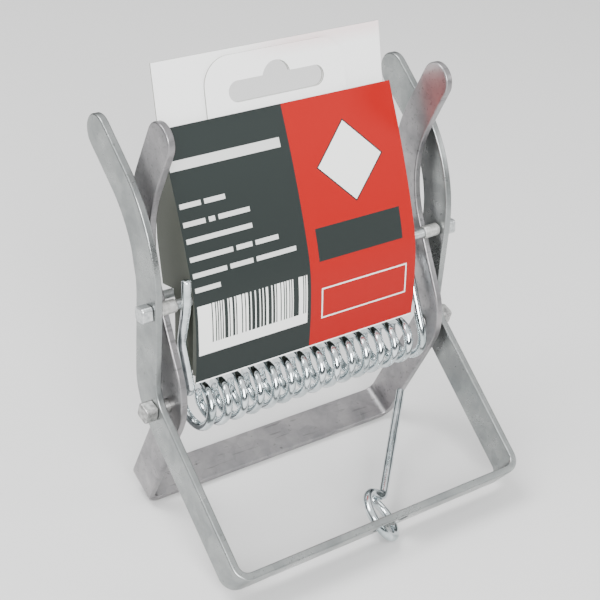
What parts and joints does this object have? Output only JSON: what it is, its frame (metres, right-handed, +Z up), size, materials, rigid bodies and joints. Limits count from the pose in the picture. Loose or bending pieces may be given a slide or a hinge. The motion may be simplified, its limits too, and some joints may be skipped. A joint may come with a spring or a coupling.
{
  "type": "scissor mole trap",
  "caption": "Sprung scissor trap of bent flat steel bar with crossing claws, a coiled torsion spring, a wire catch and its shop card, standing on its handles.",
  "frame": {"origin": "bottom centre of the bounding box, on the floor that the trap stands on", "axes": "+X along the pivots towards the side that the wire catch points to, +Y from the front handle to the rear handle, +Z up"},
  "size_m": [0.1224, 0.0876, 0.1488],
  "materials": {
    "galvanised_steel": "hot dip galvanised, dull grey with a soft spangle",
    "zinc_plated_steel": "bright zinc plate",
    "printed_card": "coated card printed in red and dark grey",
    "white_card": "plain white card"
  },
  "bodies": {
    "front_frame": {"front_frame": "galvanised_steel", "pivot_pin_left": "galvanised_steel", "pivot_pin_right": "galvanised_steel", "front_rod": "zinc_plated_steel", "rod_sleeve_left": "galvanised_steel", "rod_sleeve_right": "galvanised_steel", "torsion_spring": "zinc_plated_steel"},
    "rear_frame": {"rear_frame": "galvanised_steel", "rear_rod": "zinc_plated_steel"},
    "wire_catch": {"wire_catch": "zinc_plated_steel"},
    "card": {"card_front_panel": "printed_card", "card_back_board": "white_card", "card_hanging_tab": "white_card"}
  },
  "joints": [
    {"name": "jaw_hinge", "type": "hinge", "parent": "front_frame", "child": "rear_frame", "pos_m": [0, 0.00557, 0.04805], "axis": [-1, 0, 0], "range_deg": [0, 50], "stiffness_Nm_per_rad": 2, "springref_deg": -57.3, "deforming": ["torsion_spring"]},
    {"name": "catch_hinge", "type": "hinge", "parent": "front_frame", "child": "wire_catch", "pos_m": [0.00559, -0.03463, 0.00888], "axis": [0.927, -0.3215, 0.193], "range_deg": [-7, 15]},
    {"name": "card_slide", "type": "slide", "parent": "front_frame", "child": "card", "axis": [0, 0, 1], "range_m": [0, 0.06]}
  ]
}
